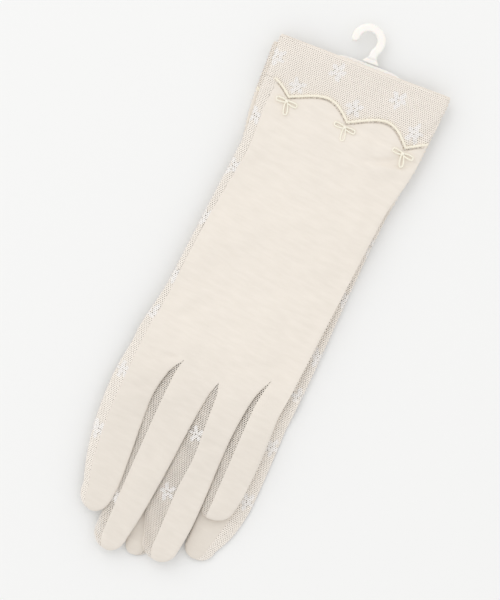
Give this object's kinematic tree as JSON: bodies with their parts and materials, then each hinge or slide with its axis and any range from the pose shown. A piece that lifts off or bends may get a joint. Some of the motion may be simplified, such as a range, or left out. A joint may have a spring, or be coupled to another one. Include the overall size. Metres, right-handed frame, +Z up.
{
  "type": "bridal gloves",
  "caption": "Pair of mid-length bridal gloves with smooth jersey backs, net-lace palms and scalloped lace cuffs, laid flat and pinned to a display hook.",
  "frame": {"origin": "on the surface the pair lies on, under the middle of the whole pair with its hook", "axes": "+Y from the fingertips to the cuffs and the hook, +X to the right with the backs of the hands up, +Z up off the surface"},
  "size_m": [0.098, 0.294, 0.0077],
  "materials": {
    "jersey": "matte ivory warp-knit jersey",
    "lace_net": "ivory net lace with woven flower sprigs",
    "satin_cord": "cream satin rat-tail cord",
    "flower_thread": "twisted ivory thread",
    "hook_plastic": "white moulded polypropylene"
  },
  "bodies": {
    "right_hand": {"right_hand_back": "jersey", "right_hand_palm": "lace_net", "right_cuff_back": "lace_net", "right_cuff_palm": "lace_net", "right_cuff_hem": "lace_net", "right_scallop_cord": "satin_cord", "right_loop_flowers": "flower_thread", "tag_pin": "hook_plastic"},
    "right_thumb": {"right_thumb_back": "jersey", "right_thumb_front": "lace_net"},
    "right_index_finger": {"right_index_back": "jersey", "right_index_palm": "lace_net", "right_index_fourchette": "lace_net"},
    "right_middle_finger": {"right_middle_back": "jersey", "right_middle_palm": "lace_net", "right_middle_fourchette": "lace_net"},
    "right_ring_finger": {"right_ring_back": "jersey", "right_ring_palm": "lace_net", "right_ring_fourchette": "lace_net"},
    "right_little_finger": {"right_little_back": "jersey", "right_little_palm": "lace_net", "right_little_fourchette": "lace_net"},
    "left_hand": {"left_hand_back": "jersey", "left_hand_palm": "lace_net", "left_cuff_back": "lace_net", "left_cuff_palm": "lace_net", "left_cuff_hem": "lace_net", "left_scallop_cord": "satin_cord", "left_loop_flowers": "flower_thread"},
    "left_thumb": {"left_thumb_back": "jersey", "left_thumb_front": "lace_net"},
    "left_index_finger": {"left_index_back": "jersey", "left_index_palm": "lace_net", "left_index_fourchette": "lace_net"},
    "left_middle_finger": {"left_middle_back": "jersey", "left_middle_palm": "lace_net", "left_middle_fourchette": "lace_net"},
    "left_ring_finger": {"left_ring_back": "jersey", "left_ring_palm": "lace_net", "left_ring_fourchette": "lace_net"},
    "left_little_finger": {"left_little_back": "jersey", "left_little_palm": "lace_net", "left_little_fourchette": "lace_net"},
    "hook": {"hanger_hook": "hook_plastic"}
  },
  "joints": [
    {"name": "right_index_fold", "type": "hinge", "parent": "right_hand", "child": "right_index_finger", "pos_m": [0.03134, -0.05308, 0], "axis": [1, 0, 0], "range_deg": [0, 110]},
    {"name": "right_middle_fold", "type": "hinge", "parent": "right_hand", "child": "right_middle_finger", "pos_m": [0.00725, -0.05308, 0], "axis": [1, 0, 0], "range_deg": [0, 110]},
    {"name": "right_ring_fold", "type": "hinge", "parent": "right_hand", "child": "right_ring_finger", "pos_m": [-0.01265, -0.05308, 0], "axis": [1, 0, 0], "range_deg": [0, 110]},
    {"name": "right_little_fold", "type": "hinge", "parent": "right_hand", "child": "right_little_finger", "pos_m": [-0.03087, -0.05308, 0], "axis": [1, 0, 0], "range_deg": [0, 110]},
    {"name": "right_thumb_swing", "type": "hinge", "parent": "right_hand", "child": "right_thumb", "pos_m": [0.02746, 0.02892, 0.0006], "axis": [0, 0, 1], "range_deg": [0, 60]},
    {"name": "left_glove_swivel", "type": "hinge", "parent": "right_hand", "child": "left_hand", "pos_m": [-0.00001, 0.11933, 0.004], "axis": [0, 0, 1], "range_deg": [-20, 20]},
    {"name": "left_index_fold", "type": "hinge", "parent": "left_hand", "child": "left_index_finger", "pos_m": [-0.02981, -0.04858, 0.0072], "axis": [-1, 0, 0], "range_deg": [0, 110]},
    {"name": "left_middle_fold", "type": "hinge", "parent": "left_hand", "child": "left_middle_finger", "pos_m": [-0.00573, -0.04858, 0.0072], "axis": [-1, 0, 0], "range_deg": [0, 110]},
    {"name": "left_ring_fold", "type": "hinge", "parent": "left_hand", "child": "left_ring_finger", "pos_m": [0.01418, -0.04858, 0.0072], "axis": [-1, 0, 0], "range_deg": [0, 110]},
    {"name": "left_little_fold", "type": "hinge", "parent": "left_hand", "child": "left_little_finger", "pos_m": [0.03239, -0.04858, 0.0072], "axis": [-1, 0, 0], "range_deg": [0, 110]},
    {"name": "left_thumb_swing", "type": "hinge", "parent": "left_hand", "child": "left_thumb", "pos_m": [-0.02594, 0.03342, 0.0046], "axis": [0, 0, -1], "range_deg": [0, 60]},
    {"name": "hook_swivel", "type": "hinge", "parent": "right_hand", "child": "hook", "pos_m": [-0.00001, 0.11933, 0.0046], "axis": [0, 0, 1], "range_deg": [-20, 20]}
  ]
}
